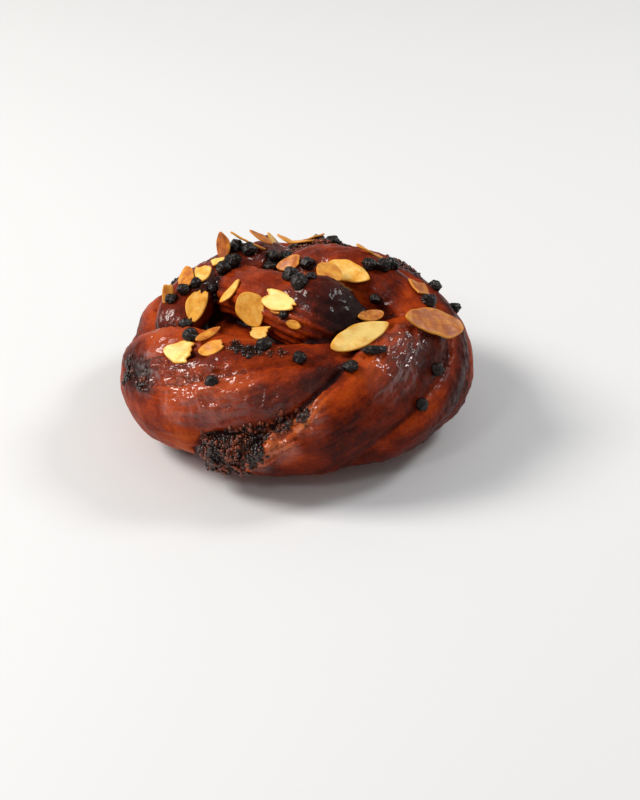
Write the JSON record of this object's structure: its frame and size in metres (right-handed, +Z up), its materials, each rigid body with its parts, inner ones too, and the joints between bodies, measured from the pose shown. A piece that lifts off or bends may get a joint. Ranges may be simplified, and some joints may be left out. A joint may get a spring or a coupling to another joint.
{
  "type": "twisted chocolate bun",
  "caption": "Round glazed bun of twisted, filled dough, coiled up to a knotted crown and topped with almond flakes and chocolate drops.",
  "frame": {"origin": "middle of the flat base, under the middle of the bun's box, on the surface that it rests on", "axes": "+Z up, -Y towards the side where the turns of the rope start, +X to that side's right"},
  "size_m": [0.115, 0.1138, 0.0607],
  "materials": {
    "crust": "glazed, deep brown baked crust, glossy",
    "almond": "toasted almond slice, lightly glazed",
    "chocolate": "dark baked chocolate, satin"
  },
  "bodies": {
    "root": {"bun": "crust", "almond_flake_01": "almond", "almond_flake_02": "almond", "almond_flake_03": "almond", "almond_flake_04": "almond", "almond_flake_05": "almond", "almond_flake_06": "almond", "almond_flake_07": "almond", "almond_flake_08": "almond", "almond_flake_09": "almond", "almond_flake_10": "almond", "almond_flake_11": "almond", "almond_flake_12": "almond", "almond_flake_13": "almond", "almond_flake_14": "almond", "almond_flake_15": "almond", "almond_flake_16": "almond", "almond_flake_17": "almond", "almond_flake_18": "almond", "almond_flake_19": "almond", "almond_flake_20": "almond", "almond_flake_21": "almond", "almond_flake_22": "almond", "almond_flake_23": "almond", "almond_flake_24": "almond", "almond_flake_25": "almond", "almond_flake_26": "almond", "almond_flake_27": "almond", "almond_flake_28": "almond", "chocolate_drop_01": "chocolate", "chocolate_drop_02": "chocolate", "chocolate_drop_03": "chocolate", "chocolate_drop_04": "chocolate", "chocolate_drop_05": "chocolate", "chocolate_drop_06": "chocolate", "chocolate_drop_07": "chocolate", "chocolate_drop_08": "chocolate", "chocolate_drop_09": "chocolate", "chocolate_drop_10": "chocolate", "chocolate_drop_11": "chocolate", "chocolate_drop_12": "chocolate", "chocolate_drop_13": "chocolate", "chocolate_drop_14": "chocolate", "chocolate_drop_15": "chocolate", "chocolate_drop_16": "chocolate", "chocolate_drop_17": "chocolate", "chocolate_drop_18": "chocolate", "chocolate_drop_19": "chocolate", "chocolate_drop_20": "chocolate", "chocolate_drop_21": "chocolate", "chocolate_drop_22": "chocolate", "chocolate_drop_23": "chocolate", "chocolate_drop_24": "chocolate", "chocolate_drop_25": "chocolate", "chocolate_drop_26": "chocolate", "chocolate_drop_27": "chocolate", "chocolate_drop_28": "chocolate", "chocolate_drop_29": "chocolate", "chocolate_drop_30": "chocolate", "chocolate_drop_31": "chocolate"}
  },
  "joints": []
}
